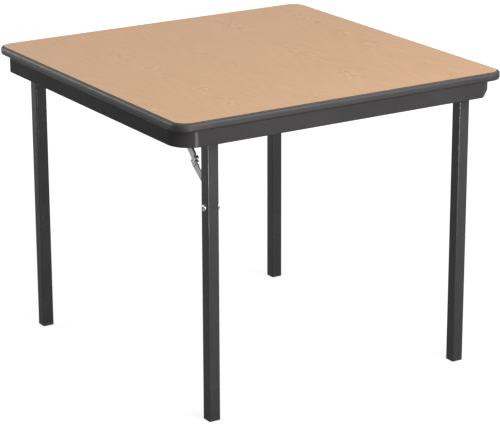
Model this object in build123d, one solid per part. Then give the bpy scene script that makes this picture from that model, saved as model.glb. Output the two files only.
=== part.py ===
from build123d import *
import os
from math import acos, atan2, cos, degrees, hypot, radians, sin, sqrt

# Folding card table: a square laminated top on a formed steel apron, with two folding leg frames.
# Lengths are in millimetres and angles in degrees. Z is up, and the origin is on the floor under
# the centre of the top. X runs along the front edge and Y from the front edge to the back edge.
# Each leg frame is two square legs on a cross tube that turns under the top. The front frame has
# its braced left leg nearer the centre line than its right leg. The back frame is the front one
# turned half a turn about Z, so that the folded legs of the two frames lie side by side.

# Overall size
top_width = 914.4
table_height = 749.3

# Top panel and its edge moulding
top_corner_radius = 40.0
laminate_thickness = 1.0
core_thickness = 19.0
backer_thickness = 0.7
band_depth = 5.5
band_edge_radius = 3.6
tongue_thickness = 2.4
tongue_length = 9.0
barb_height = 0.5
barb_width = 1.6
barb_spacing = 3.4

# Apron
apron_depth = 39.0
apron_sheet = 1.5
apron_setback = 0.8
apron_corner_radius = 58.0
apron_corner_cut = 57.0
apron_cut_bend_radius = 14.0
apron_opening_bend_radius = 3.0
apron_flange_width = 22.0
apron_lip_width = 9.0
apron_bend_radius = 2.6
apron_seam_gap = 0.4
splice_length = 70.0
splice_height = 24.0
splice_thickness = 2.0
splice_rivet_radius = 2.4
splice_rivet_head_radius = 4.5
splice_rivet_head_height = 1.6

# Legs
leg_width = 30.0
leg_wall = 1.6
leg_corner_radius = 3.2
leg_end_inset = 62.9
leg_side_inset = 75.9
nest_pitch = 38.0
foot_height = 7.0
foot_edge_radius = 1.4
foot_insert_depth = 18.0
plug_head_height = 1.5
plug_insert_depth = 12.0
insert_wall = 2.0

# Cross tube and its bearings
cross_tube_diameter = 25.4
cross_tube_wall = 1.6
weld_radius = 3.0
bearing_wall = 2.6
bearing_length = 24.0
bearing_leg_gap = 14.0
strap_thickness = 2.5
strap_flange = 19.0
strap_bend_radius = 2.0

# Folding brace, measured in the plane of the leg that it holds
brace_pin_drop = 180.5
anchor_reach = 211.0
over_centre_offset = 6.7
link_width = 18.0
link_eye_radius = 9.6
link_thickness = 3.0
link_flange_depth = 6.0
link_flange_thickness = 2.2
link_flange_setback = 17.0
leg_washer_thickness = 2.0
leg_washer_radius = 9.0
knee_washer_thickness = 2.6
knee_washer_radius = 8.0
knee_pin_radius = 3.5
knee_head_radius = 6.5
knee_inner_head = 1.6
knee_outer_head = 2.6
stop_tail_length = 15.0
stop_tab_length = 8.0
stop_tab_thickness = 2.4
brace_bolt_radius = 4.0
brace_bolt_head_radius = 8.0
brace_bolt_head_height = 4.8
brace_bolt_socket_width = 5.0
brace_bolt_socket_depth = 2.6
bolt_sleeve_wall = 2.2
brace_end_head_radius = 6.0
brace_end_head_height = 1.6
anchor_ear_thickness = 2.5
anchor_ear_radius = 11.5
anchor_base_length = 44.0
anchor_base_width = 30.0
anchor_head_height = 2.0
anchor_head_radius = 6.0

# Rest pads under the top, one over each folded leg
pad_reach_share = 0.852
pad_base_radius = 12.0
pad_tip_radius = 9.0
pad_recess_depth = 4.0

# Wood screws
screw_radius = 2.1
screw_head_radius = 4.4
screw_head_height = 2.6
screw_length = 14.0
screw_recess_length = 4.8
screw_recess_width = 0.9
screw_recess_depth = 1.5
screws_per_side = 4
screw_span_share = 0.72

# Clearances and the overrun of every cut
seat_clearance = 0.05
running_clearance = 0.05
slide_clearance = 0.15
stop_clearance = 0.3
overrun = 5.0

# Heights of the stacked layers
panel_width = top_width - 2 * band_depth
panel_corner_radius = top_corner_radius - band_depth
core_top = table_height - laminate_thickness
core_bottom = core_top - core_thickness
underside = core_bottom - backer_thickness
panel_thickness = table_height - underside
apron_bottom = underside - apron_depth
apron_half = panel_width / 2 - apron_setback

# Pivot axis of the front frame: its folded legs lie flush with the bottom of the apron
pivot_y = leg_end_inset - apron_half
pivot_z = apron_bottom + leg_width / 2
tube_radius = cross_tube_diameter / 2
leg_top = pivot_z + leg_width / 2
right_leg_x = apron_half - leg_side_inset
left_leg_x = nest_pitch - right_leg_x
pad_reach = pad_reach_share * min(pivot_z, -2 * pivot_y)
left_inner_face = left_leg_x + leg_width / 2
right_inner_face = right_leg_x - leg_width / 2

# Layers of the brace along X, from the inner face of the braced leg towards the middle
lower_link_x = left_inner_face + leg_washer_thickness + slide_clearance
knee_washer_x = lower_link_x + link_thickness
upper_link_x = knee_washer_x + knee_washer_thickness + slide_clearance

# Pins of the brace in the Y-Z plane. The leg pin and the anchor pin give the span of the open
# brace and, with the leg folded, the span of the shut brace. The knee divides the open span so
# that the two links lie one over the other when shut, and sags outside the line to lock it.
leg_pin = Vector(0, pivot_y, pivot_z - brace_pin_drop)
anchor_pin = Vector(0, pivot_y + anchor_reach, pivot_z)
folded_leg_pin = Vector(0, pivot_y + brace_pin_drop, pivot_z)
open_span = (anchor_pin - leg_pin).length
shut_span = (anchor_pin - folded_leg_pin).length
open_direction = (anchor_pin - leg_pin).normalized()
outward = Vector(0, open_direction.Z, -open_direction.Y)
lower_share = (open_span - shut_span) / 2 / open_span
knee_pin = leg_pin + open_direction * (lower_share * open_span) + outward * over_centre_offset
lower_length = (knee_pin - leg_pin).length
upper_length = (anchor_pin - knee_pin).length


def heading(start, end):
    """Angle of the line from start to end in the Y-Z plane, from +Y towards +Z."""
    return degrees(atan2(end.Z - start.Z, end.Y - start.Y))


def folded_turns():
    """Turn of the upper link, and of the lower link against it, when the leg folds 90 degrees."""
    at_anchor = acos((upper_length**2 + shut_span**2 - lower_length**2) / (2 * upper_length * shut_span))
    folded_upper = heading(anchor_pin, folded_leg_pin) - degrees(at_anchor)
    folded_knee = anchor_pin + Vector(0, cos(radians(folded_upper)), sin(radians(folded_upper))) * upper_length
    upper_turn = (folded_upper - heading(anchor_pin, knee_pin)) % -360
    lower_turn = (heading(folded_knee, folded_leg_pin) - heading(knee_pin, leg_pin)) % 360
    return upper_turn, lower_turn - upper_turn, folded_knee


def slab(width, corner, bottom, height):
    """Square slab with rounded corners."""
    return Pos(0, 0, bottom) * extrude(RectangleRounded(width, width, corner), height)


def ring(outer_width, outer_corner, wall, bottom, height):
    """Square ring with rounded corners and an even wall."""
    outer = slab(outer_width, outer_corner, bottom, height)
    inner = slab(outer_width - 2 * wall, outer_corner - wall, bottom - overrun, height + 2 * overrun)
    return outer - inner


def rod(x_start, x_end, centre, radius):
    """Round bar along X about a point of the Y-Z plane."""
    plane = Plane(origin=(x_start, centre.Y, centre.Z), x_dir=(0, 1, 0), z_dir=(1, 0, 0))
    return plane * extrude(Circle(radius), x_end - x_start)


def side_plate(sketch, x_start, x_end, centre=Vector(0, 0, 0), turn=0):
    """Plate across X: sketch X runs along +Y turned by an angle, and sketch Y is on its left."""
    plane = Plane(origin=(x_start, centre.Y, centre.Z), x_dir=(0, 1, 0), z_dir=(1, 0, 0))
    return plane * Rot(0, 0, turn) * extrude(sketch, x_end - x_start)


def to_back(part):
    """The same piece of the back frame."""
    return Rot(0, 0, 180) * part


def wood_screw():
    """Wood screw driven up, with a cross recess in its pan head. Its seat is at the origin."""
    shank = Pos(0, 0, -screw_head_height) * extrude(Circle(screw_radius), screw_head_height + screw_length)
    head = Pos(0, 0, -screw_head_height) * extrude(Circle(screw_head_radius), screw_head_height)
    head = fillet(head.edges().group_by(Axis.Z)[0], screw_head_height / 2)
    tip = (shank + head).edges().group_by(Axis.Z)[-1]
    screw = chamfer(tip, screw_radius / 2)
    for turn in (0, 90):
        slot = Box(screw_recess_length, screw_recess_width, 2 * screw_recess_depth)
        screw -= Pos(0, 0, -screw_head_height) * Rot(0, 0, turn) * slot
    return screw


def pilot_holes(places, bottom, height, radius):
    """Round holes along Z at a list of places."""
    return [Pos(x, y, bottom) * extrude(Circle(radius), height) for x, y in places]


def apron_screw_places():
    """Screw places along the four sides of the apron flange."""
    line = apron_half - apron_sheet - (apron_flange_width - apron_sheet) / 2
    span = panel_width * screw_span_share
    steps = [span * (i / (screws_per_side - 1) - 1 / 2) for i in range(screws_per_side)]
    front = [(s, -line) for s in steps]
    right = [(line, s) for s in steps]
    return front + right + [(-x, -y) for x, y in front + right]


def bearing_centres():
    """X places of the two bearings of the front frame."""
    reach = bearing_leg_gap + bearing_length / 2
    return [left_inner_face + reach, right_inner_face - reach]


def strap_screw_places():
    """Screw places of the front frame's bearing straps."""
    offset = tube_radius + bearing_wall + strap_thickness + strap_flange / 2
    return [(x, pivot_y + s * offset) for x in bearing_centres() for s in (-1, 1)]


def anchor_screw_places():
    """Screw places of the front brace anchor."""
    x = upper_link_x - slide_clearance - anchor_ear_thickness + anchor_base_width * 5 / 8
    offset = anchor_base_length / 4
    return [(x, anchor_pin.Y + s * offset) for s in (-1, 1)]


def pad_places():
    """Places of the front frame's rest pads, over its folded legs."""
    return [(x, pivot_y + pad_reach) for x in (left_leg_x, right_leg_x)]


def both_frames(places):
    """Front places followed by the same places of the back frame."""
    return places + [(-x, -y) for x, y in places]


def underside_places():
    """Every screw place under the top."""
    return apron_screw_places() + both_frames(strap_screw_places() + anchor_screw_places() + pad_places())


def table_top():
    """Core with its edge groove and pilot holes, face laminate and backing sheet."""
    groove = tongue_thickness + 2 * barb_height
    middle = underside + panel_thickness / 2
    core = slab(panel_width, panel_corner_radius, core_bottom, core_thickness)
    core -= ring(panel_width, panel_corner_radius, tongue_length + seat_clearance, middle - groove / 2, groove)
    backer = slab(panel_width, panel_corner_radius, underside, backer_thickness)
    places = underside_places()
    hole = screw_radius + seat_clearance
    core -= pilot_holes(places, underside, backer_thickness + screw_length, hole)
    backer -= pilot_holes(places, underside - overrun, backer_thickness + 2 * overrun, hole)
    laminate = slab(panel_width, panel_corner_radius, core_top, laminate_thickness)
    return core, laminate, backer


def edge_moulding():
    """T-shaped moulding: a rounded face band with a barbed tongue in the groove of the core."""
    band = slab(top_width, top_corner_radius, underside, panel_thickness)
    rims = band.edges().group_by(Axis.Z)
    band = fillet(rims[0] + rims[-1], band_edge_radius)
    band -= slab(panel_width, panel_corner_radius, underside - overrun, panel_thickness + 2 * overrun)
    middle = underside + panel_thickness / 2
    tongue = ring(panel_width, panel_corner_radius, tongue_length, middle - tongue_thickness / 2, tongue_thickness)
    barb_depth = tongue_thickness + 2 * barb_height
    for i in range(1, 3):
        inset = i * barb_spacing
        tongue += ring(
            panel_width - 2 * inset, panel_corner_radius - inset, barb_width, middle - barb_depth / 2, barb_depth
        )
    return band + tongue


def apron_block(inset, bottom, height):
    """Block with the plan of the apron, moved inward by an inset. Its corners at the braced legs are
    round, and those at the plain legs are cut across by a flat face between two tight bends."""
    width = 2 * (apron_half - inset)
    plan = Rectangle(width, width)
    plan = fillet([v for v in plan.vertices() if v.X * v.Y > 0], apron_corner_radius - inset)
    cut = apron_corner_cut - inset * (2 - sqrt(2))
    plan = chamfer([v for v in plan.vertices() if v.X * v.Y < 0], cut)
    bend = max(apron_cut_bend_radius - inset, apron_opening_bend_radius)
    plan = fillet([v for v in plan.vertices() if v.X * v.Y < 0], bend)
    return Pos(0, 0, bottom) * extrude(plan, height)


def apron_rail():
    """One strip of steel, formed to a channel and bent round to a square, open at the back seam."""
    rail = apron_block(0, apron_bottom, apron_depth)
    levels = rail.edges().group_by(Axis.Z)
    rail = fillet(levels[0] + levels[-1], apron_bend_radius)
    hollow = apron_block(apron_sheet, apron_bottom + apron_sheet, apron_depth - 2 * apron_sheet)
    levels = hollow.edges().group_by(Axis.Z)
    rail -= fillet(levels[0] + levels[-1], apron_bend_radius - apron_sheet)
    for width, bottom in ((apron_flange_width, underside), (apron_lip_width, apron_bottom)):
        rail -= apron_block(width, bottom - overrun, 2 * overrun)
    seam = Pos(0, apron_half, (apron_bottom + underside) / 2)
    rail -= seam * Box(apron_seam_gap, 2 * apron_flange_width + overrun, apron_depth + overrun)
    hole = screw_radius + seat_clearance
    rail -= pilot_holes(apron_screw_places(), underside - 2 * apron_sheet, 4 * apron_sheet, hole)
    return rail - splice_rivets(seat_clearance)


def splice_rivets(grow=0):
    """Rivets through the apron and its splice plate. A grown copy cuts their holes."""
    face = apron_half
    shank = apron_sheet + splice_thickness
    rivets = []
    for i in range(4):
        x = splice_length * (-3 / 8 + i / 4)
        plane = Plane(origin=(x, face, (apron_bottom + underside) / 2), x_dir=(1, 0, 0), z_dir=(0, -1, 0))
        rivet = plane * extrude(Circle(splice_rivet_radius + grow), shank + grow)
        if not grow:
            head = extrude(Circle(splice_rivet_head_radius), splice_rivet_head_height)
            rim = head.edges().group_by(Axis.Z)
            outer_head = fillet(rim[0], splice_rivet_head_height * 3 / 4)
            inner_head = fillet(rim[-1], splice_rivet_head_height * 3 / 4)
            rivet += plane * Pos(0, 0, -splice_rivet_head_height) * outer_head
            rivet += plane * Pos(0, 0, shank) * inner_head
        rivets.append(rivet)
    return rivets


def splice_plate():
    """Flat plate inside the apron that joins the two ends of the rail."""
    y = apron_half - apron_sheet - splice_thickness / 2
    plate = Pos(0, y, (apron_bottom + underside) / 2) * Box(splice_length, splice_thickness, splice_height)
    plate = fillet(plate.edges().filter_by(Axis.Y), splice_height / 6)
    return plate - splice_rivets(seat_clearance)


def leg_tube(x, braced):
    """Square tube from the foot to the top plug, bored for the brace bolt on the braced leg."""
    bottom = foot_height
    height = leg_top - bottom
    outer = extrude(RectangleRounded(leg_width, leg_width, leg_corner_radius), height)
    bore = leg_width - 2 * leg_wall
    inner = extrude(RectangleRounded(bore, bore, leg_corner_radius - leg_wall), height)
    tube = Pos(x, pivot_y, bottom) * (outer - inner)
    if braced:
        half = leg_width / 2 + overrun
        tube -= rod(x - half, x + half, leg_pin, brace_bolt_radius + seat_clearance)
    return tube


def end_insert(x, seat, head_height, depth, downward, edge_radius):
    """Moulded insert for the end of a leg tube: a head as wide as the tube and a hollow stem."""
    stem_width = leg_width - 2 * leg_wall - 2 * seat_clearance
    stem_radius = leg_corner_radius - leg_wall - seat_clearance
    head = extrude(RectangleRounded(leg_width, leg_width, leg_corner_radius), head_height)
    head = fillet(head.edges().group_by(Axis.Z)[-1], edge_radius)
    stem = Pos(0, 0, -depth) * extrude(RectangleRounded(stem_width, stem_width, stem_radius), depth)
    hollow = stem_width - 2 * insert_wall
    stem -= Pos(0, 0, -depth) * extrude(Rectangle(hollow, hollow), depth - insert_wall)
    turn = Rot(180, 0, 0) if downward else Rot(0, 0, 0)
    return Pos(x, pivot_y, seat) * turn * (head + stem)


def cross_tube():
    """Round tube between the two legs of a frame, on the pivot axis, with a weld bead at each end."""
    axis = Vector(0, pivot_y, pivot_z)
    tube = rod(left_inner_face, right_inner_face, axis, tube_radius)
    for face in (left_inner_face, right_inner_face):
        plane = Plane(origin=(face, pivot_y, pivot_z), x_dir=(0, 1, 0), z_dir=(1, 0, 0))
        bead = plane * Torus(tube_radius, weld_radius)
        tube += bead & rod(left_inner_face, right_inner_face, axis, tube_radius + 2 * weld_radius)
    return tube - rod(left_inner_face, right_inner_face, axis, tube_radius - cross_tube_wall)


def bearing_outline(radius):
    """Round below the pivot axis and straight up to the underside of the top."""
    rise = underside - pivot_z
    return Circle(radius) + Pos(0, rise / 2) * Rectangle(2 * radius, rise)


def bearing_block(x):
    """Nylon bearing that fills the space between cross tube, strap and top."""
    half = bearing_length / 2
    axis = Vector(0, pivot_y, pivot_z)
    block = side_plate(bearing_outline(tube_radius + bearing_wall), x - half, x + half, axis)
    return block - rod(x - half - overrun, x + half + overrun, axis, tube_radius + running_clearance)


def bearing_strap(x):
    """Pressed steel strap round the bearing, with a screwed flange on each side."""
    half = bearing_length / 2
    axis = Vector(0, pivot_y, pivot_z)
    inner_radius = tube_radius + bearing_wall + seat_clearance
    outer_radius = inner_radius + strap_thickness
    rise = underside - pivot_z
    flange = Rectangle(2 * (outer_radius + strap_flange), strap_thickness)
    outline = bearing_outline(outer_radius) + Pos(0, rise - strap_thickness / 2) * flange
    inside_corners = outline.vertices().filter_by(
        lambda v: abs(abs(v.X) - outer_radius) < seat_clearance and v.Y > rise / 2
    )
    outline = fillet(inside_corners, strap_bend_radius)
    strap = side_plate(outline, x - half, x + half, axis)
    strap -= side_plate(bearing_outline(inner_radius), x - half - overrun, x + half + overrun, axis)
    corners = strap.edges().filter_by(Axis.Z).filter_by(
        lambda e: abs(abs(e.center().Y - pivot_y) - outer_radius - strap_flange) < seat_clearance
    )
    strap = fillet(corners, strap_flange / 5)
    hole = screw_radius + seat_clearance
    return strap - pilot_holes(strap_screw_places(), underside - 2 * strap_thickness, 4 * strap_thickness, hole)


def brace_anchor():
    """Angle bracket under the top: a screwed base and an ear that carries the upper link."""
    ear_end = upper_link_x - slide_clearance
    ear_start = ear_end - anchor_ear_thickness
    rise = underside - anchor_pin.Z
    shoulder = anchor_base_length * 3 / 8
    ear = make_hull(
        [Circle(anchor_ear_radius).edge()] + (Pos(0, rise / 2) * Rectangle(2 * shoulder, rise)).edges()
        .filter_by(lambda e: e.center().Y > rise * 3 / 4)
    )
    plate = side_plate(ear, ear_start, ear_end, anchor_pin)
    base = Pos(ear_start + anchor_base_width / 2, anchor_pin.Y, underside - anchor_ear_thickness / 2) * Box(
        anchor_base_width, anchor_base_length, anchor_ear_thickness
    )
    base = fillet(base.edges().filter_by(Axis.Z), anchor_base_width / 8)
    bracket = plate + base
    bracket -= rod(ear_start - overrun, ear_end + overrun, anchor_pin, knee_pin_radius + running_clearance)
    hole = screw_radius + seat_clearance
    depth = 2 * anchor_ear_thickness
    return bracket - pilot_holes(anchor_screw_places(), underside - depth, 2 * depth, hole)


def rest_pad(x, y):
    """Tapered rubber buffer that a folded leg comes to rest under, with a recess for its screw."""
    height = underside - leg_top - stop_clearance
    tip = underside - height
    pad = Pos(x, y, tip) * loft(Sketch() + [Circle(pad_tip_radius), Pos(0, 0, height) * Circle(pad_base_radius)])
    recess = screw_head_radius + seat_clearance
    pad -= Pos(x, y, tip - overrun) * extrude(Circle(recess), overrun + pad_recess_depth)
    return pad - Pos(x, y, tip) * extrude(Circle(screw_radius + seat_clearance), height + overrun)


def link_outline(length):
    """Flat link with a round eye at each end: the first at the sketch origin, the other along X."""
    bar = Pos(length / 2, 0) * Rectangle(length, link_width)
    return bar + Circle(link_eye_radius) + Pos(length, 0) * Circle(link_eye_radius)


def upper_link():
    """Link from the anchor to the knee, stiffened by a flange on its inner edge."""
    turn = heading(anchor_pin, knee_pin)
    x_end = upper_link_x + link_thickness
    link = side_plate(link_outline(upper_length), upper_link_x, x_end, anchor_pin, turn)
    flange_length = upper_length - 2 * link_flange_setback
    strip = Pos(upper_length / 2, -link_width / 2 + link_flange_thickness / 2) * Rectangle(
        flange_length, link_flange_thickness
    )
    flange = side_plate(strip, upper_link_x, upper_link_x + link_flange_depth, anchor_pin, turn)
    ends = flange.edges().group_by(Axis.X)[-1].filter_by(
        lambda e: e.length < link_thickness
    )
    flange = chamfer(ends, link_flange_depth - link_thickness)
    link += flange
    hole = knee_pin_radius + running_clearance
    for pin in (anchor_pin, knee_pin):
        link -= rod(upper_link_x - overrun, upper_link_x + link_flange_depth + overrun, pin, hole)
    return link


def lower_link():
    """Link from the leg to the knee, with a tail whose bent tab stops on the upper link's edge."""
    x_end = lower_link_x + link_thickness
    turn = heading(leg_pin, knee_pin)
    link = side_plate(link_outline(lower_length), lower_link_x, x_end, leg_pin, turn)
    upper_turn = heading(knee_pin, anchor_pin)
    edge = link_width / 2 + stop_clearance
    ear_height = edge + stop_tab_thickness
    ear = Pos(stop_tail_length - stop_tab_length / 2, ear_height / 2) * Rectangle(stop_tab_length, ear_height)
    tail = Pos(stop_tail_length / 2, 0) * Rectangle(stop_tail_length, link_width)
    link += side_plate(ear + tail, lower_link_x, x_end, knee_pin, upper_turn)
    tab = Pos(stop_tail_length - stop_tab_length / 2, edge + stop_tab_thickness / 2) * Rectangle(
        stop_tab_length, stop_tab_thickness
    )
    link += side_plate(tab, lower_link_x, upper_link_x + link_flange_depth, knee_pin, upper_turn)
    link -= rod(lower_link_x - overrun, x_end + overrun, leg_pin, brace_bolt_radius + seat_clearance)
    return link - rod(lower_link_x - overrun, x_end + overrun, knee_pin, knee_pin_radius + seat_clearance)


def domed_head(x_seat, height, centre, radius):
    """Rivet head on a seat across X. A negative height makes it point to -X."""
    start = min(x_seat, x_seat + height)
    head = rod(start, start + abs(height), centre, radius)
    rim = head.edges().group_by(Axis.X)[-1 if height > 0 else 0]
    return fillet(rim, abs(height) / 2)


def knee_rivet():
    """Rivet through both links at the knee."""
    x_end = upper_link_x + link_thickness + slide_clearance
    rivet = rod(lower_link_x, x_end, knee_pin, knee_pin_radius)
    rivet += domed_head(lower_link_x, -knee_inner_head, knee_pin, knee_head_radius)
    return rivet + domed_head(x_end, knee_outer_head, knee_pin, knee_head_radius)


def knee_washer():
    """Washer that holds the links apart, so that the lower rivet head passes under the upper link."""
    washer = rod(knee_washer_x, upper_link_x - slide_clearance, knee_pin, knee_washer_radius)
    return washer - rod(knee_washer_x - overrun, upper_link_x + overrun, knee_pin, knee_pin_radius + seat_clearance)


def anchor_rivet():
    """Rivet through the anchor's ear and the upper link."""
    x_start = upper_link_x - 2 * slide_clearance - anchor_ear_thickness
    x_end = upper_link_x + link_thickness
    rivet = rod(x_start, x_end, anchor_pin, knee_pin_radius)
    rivet += domed_head(x_start, -anchor_head_height, anchor_pin, anchor_head_radius)
    return rivet + domed_head(x_end, anchor_head_height, anchor_pin, anchor_head_radius)


def brace_end_rivet():
    """Headed end of the brace bolt in the lower link's eye, where the linkage is opened."""
    rivet = rod(lower_link_x, lower_link_x + link_thickness, leg_pin, brace_bolt_radius)
    return rivet + domed_head(lower_link_x + link_thickness, brace_end_head_height, leg_pin, brace_end_head_radius)


def brace_bolt():
    """Bolt through the braced leg, with a domed socket head on the outer face."""
    outer_face = left_leg_x - leg_width / 2
    shank_end = left_inner_face + leg_washer_thickness
    bolt = rod(outer_face, shank_end, leg_pin, brace_bolt_radius)
    head = rod(outer_face - brace_bolt_head_height, outer_face, leg_pin, brace_bolt_head_radius)
    head = fillet(head.edges().group_by(Axis.X)[0], brace_bolt_head_height * 3 / 4)
    socket = RegularPolygon(brace_bolt_socket_width / 2, 6, major_radius=False)
    start = outer_face - brace_bolt_head_height
    return bolt + head - side_plate(socket, start - overrun, start + brace_bolt_socket_depth, leg_pin)


def bolt_sleeve():
    """Sleeve inside the leg that keeps the bolt from crushing the tube."""
    half = leg_width / 2 - leg_wall
    inner = brace_bolt_radius + seat_clearance
    sleeve = rod(left_leg_x - half, left_leg_x + half, leg_pin, inner + bolt_sleeve_wall)
    return sleeve - rod(left_leg_x - half - overrun, left_leg_x + half + overrun, leg_pin, inner)


def leg_washer():
    """Washer between the braced leg and the lower link."""
    washer = rod(left_inner_face, left_inner_face + leg_washer_thickness, leg_pin, leg_washer_radius)
    cut = rod(left_inner_face - overrun, left_inner_face + overrun, leg_pin, brace_bolt_radius + seat_clearance)
    return washer - cut


def frame_pieces():
    """Pieces of one leg frame with its bearings and brace, in the front frame's place."""
    left_bearing, right_bearing = bearing_centres()
    top_insert = (leg_top, plug_head_height, plug_insert_depth, False, plug_head_height / 2)
    foot_insert = (foot_height, foot_height, foot_insert_depth, True, foot_edge_radius)
    return {
        "braced_leg": leg_tube(left_leg_x, True),
        "plain_leg": leg_tube(right_leg_x, False),
        "braced_leg_foot": end_insert(left_leg_x, *foot_insert),
        "plain_leg_foot": end_insert(right_leg_x, *foot_insert),
        "braced_leg_plug": end_insert(left_leg_x, *top_insert),
        "plain_leg_plug": end_insert(right_leg_x, *top_insert),
        "cross_tube": cross_tube(),
        "braced_side_bearing": bearing_block(left_bearing),
        "plain_side_bearing": bearing_block(right_bearing),
        "braced_side_strap": bearing_strap(left_bearing),
        "plain_side_strap": bearing_strap(right_bearing),
        "brace_anchor": brace_anchor(),
        "anchor_rivet": anchor_rivet(),
        "upper_link": upper_link(),
        "lower_link": lower_link(),
        "knee_rivet": knee_rivet(),
        "knee_washer": knee_washer(),
        "brace_end_rivet": brace_end_rivet(),
        "brace_bolt": brace_bolt(),
        "bolt_sleeve": bolt_sleeve(),
        "leg_washer": leg_washer(),
    }


def screw_groups():
    """Wood screws under the top, grouped by what they hold."""
    anchor_seat = underside - anchor_ear_thickness
    pad_seat = leg_top + stop_clearance + pad_recess_depth
    groups = {
        "apron_screws": (apron_screw_places(), underside - apron_sheet),
        "strap_screws": (both_frames(strap_screw_places()), underside - strap_thickness),
        "anchor_screws": (both_frames(anchor_screw_places()), anchor_seat),
        "pad_screws": (both_frames(pad_places()), pad_seat),
    }
    screw = wood_screw()
    return {name: Compound(children=[Pos(x, y, seat) * screw for x, y in places])
            for name, (places, seat) in groups.items()}


def build():
    core, laminate, backer = table_top()
    pieces = {
        "top_core": core,
        "top_laminate": laminate,
        "top_backer": backer,
        "edge_moulding": edge_moulding(),
        "apron_rail": apron_rail(),
        "apron_splice_plate": splice_plate(),
        "apron_splice_rivets": Compound(children=splice_rivets()),
        "rest_pads": Compound(children=[rest_pad(x, y) for x, y in both_frames(pad_places())]),
    }
    pieces.update(screw_groups())
    for name, part in frame_pieces().items():
        pieces["front_" + name] = part
        pieces["back_" + name] = to_back(part)
    return pieces


os.makedirs("parts", exist_ok=True)
for node, part in build().items():
    export_step(part, "parts/" + node + ".step")

upper_turn, lower_turn, folded_knee = folded_turns()
print("pivot", pivot_y, pivot_z)
print("anchor pin", anchor_pin, "knee pin", knee_pin, "leg pin", leg_pin)
print("upper link", upper_length, "lower link", lower_length)
print("turns of the links", upper_turn, lower_turn, "folded knee", folded_knee)
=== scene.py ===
from math import cos, pi, radians, sin, sqrt

import bpy
import numpy as np
from bpy.props import FloatProperty, FloatVectorProperty, IntProperty, PointerProperty
from bpy.types import Operator, Panel, PropertyGroup
from mathutils import Matrix, Vector


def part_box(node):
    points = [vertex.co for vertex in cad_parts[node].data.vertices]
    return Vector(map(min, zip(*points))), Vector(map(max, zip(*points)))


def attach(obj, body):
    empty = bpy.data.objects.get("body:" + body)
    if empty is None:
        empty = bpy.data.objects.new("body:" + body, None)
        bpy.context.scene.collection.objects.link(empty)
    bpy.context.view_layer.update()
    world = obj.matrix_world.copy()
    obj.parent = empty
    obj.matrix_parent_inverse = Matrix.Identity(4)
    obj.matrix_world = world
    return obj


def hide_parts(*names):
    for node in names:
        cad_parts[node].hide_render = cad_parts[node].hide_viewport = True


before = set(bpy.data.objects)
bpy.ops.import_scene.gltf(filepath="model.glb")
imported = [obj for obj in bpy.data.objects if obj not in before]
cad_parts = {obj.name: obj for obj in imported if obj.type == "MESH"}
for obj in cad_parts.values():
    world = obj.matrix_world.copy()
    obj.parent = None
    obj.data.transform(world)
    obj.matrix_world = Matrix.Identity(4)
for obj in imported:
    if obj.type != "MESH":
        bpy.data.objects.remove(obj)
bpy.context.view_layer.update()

bl_info = {
    "name": "Folding Card Table",
    "version": (1, 0, 0),
    "blender": (4, 5, 0),
    "location": "3D View > Sidebar > Card Table",
    "description": "Detailed pieces, finishes and studio for a folding card table",
    "category": "Object",
}

SIDES = ("front", "back")
CREASE = radians(28)
PANEL_LOW, PANEL_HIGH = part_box("top_laminate")
BAND_LOW, BAND_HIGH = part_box("edge_moulding")


# Sizes and colours that a user would change

def length(name, description, default):
    """A size in metres."""
    return FloatProperty(
        name=name, description=description, default=default, min=0.0, precision=5, subtype="DISTANCE", unit="LENGTH"
    )


def share(name, description, default):
    """A share from 0 to 1."""
    return FloatProperty(name=name, description=description, default=default, min=0.0, max=1.0, subtype="FACTOR")


def colour(name, description, default):
    """A linear colour."""
    return FloatVectorProperty(
        name=name, description=description, default=default, size=3, min=0.0, max=1.0, subtype="COLOR"
    )


def power(name, description, default):
    """Power of a lamp in watts."""
    return FloatProperty(
        name=name, description=description, default=default, min=0.0, subtype="POWER", unit="POWER"
    )


class CardTableSizes(PropertyGroup):
    """Sizes of the pieces that are shaped here."""

    panel_corner: length("Panel corner", "Corner radius of the panel inside its moulding", 0.0345)
    laminate_bevel: length("Laminate bevel", "Width of the trimmed edge of the laminate", 0.0022)
    laminate_chamfer: length("Laminate chamfer", "Height of the trimmed edge of the laminate", 0.0009)
    band_lip: length("Band lip", "Rounding of the moulding where it meets the panel", 0.0006)
    band_drop: length("Band drop", "How far the moulding stays below the face of the laminate", 0.0012)
    band_crown: FloatProperty(
        name="Band crown", description="Power of the moulding's crown over its height", default=4.0, min=2.0, max=12.0
    )
    tongue_length: length("Tongue length", "Reach of the moulding's tongue into the core", 0.009)
    tongue_thickness: length("Tongue thickness", "Thickness of the moulding's tongue", 0.0024)
    barb_height: length("Barb height", "Height of the barbs on the tongue", 0.0005)
    barb_width: length("Barb width", "Length of the barbs on the tongue", 0.0016)
    barb_spacing: length("Barb spacing", "Distance between the barbs on the tongue", 0.0034)
    tube_radius: length("Cross tube radius", "Outer radius of the cross tubes", 0.0127)
    bead_radius: length("Weld bead radius", "Radius of the weld beads at the cross tubes", 0.0031)
    bead_ripple: length("Weld ripple", "Height of the ripples in a weld bead", 0.0004)
    bead_ripples: IntProperty(
        name="Weld ripples", description="Number of ripples round a weld bead", default=26, min=3, max=80
    )
    edge_radius: length("Edge radius", "Radius of the broken edges on metal and plastic", 0.0004)


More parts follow.
